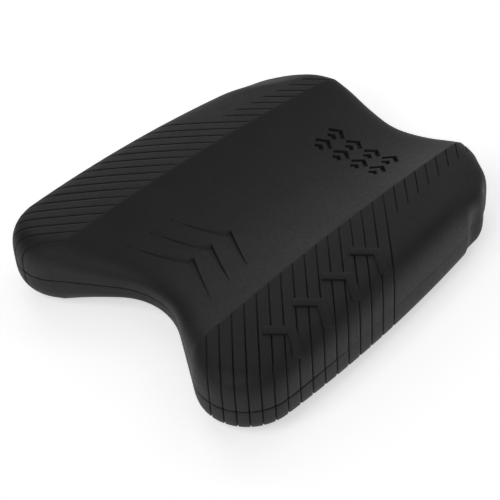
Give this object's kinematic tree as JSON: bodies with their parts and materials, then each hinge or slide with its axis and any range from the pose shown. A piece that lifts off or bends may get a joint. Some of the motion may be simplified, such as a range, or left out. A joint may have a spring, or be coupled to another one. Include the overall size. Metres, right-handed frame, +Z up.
{
  "type": "pull buoy",
  "caption": "Bow-tie foam swim float with a concave thigh channel, two ribbed lobes, thumb rests and finger scallops, moulded as two halves with a bond layer.",
  "frame": {"origin": "centre of the whole object's footprint, on the floor plane", "axes": "+Y along the thigh channel towards the grip end, +X towards the right lobe, +Z up"},
  "size_m": [0.218, 0.2501, 0.0519],
  "materials": {
    "foam": "matte",
    "bond": "matte"
  },
  "bodies": {
    "root": {"upper_half": "foam", "bond_film": "bond", "lower_half": "foam"}
  },
  "joints": []
}
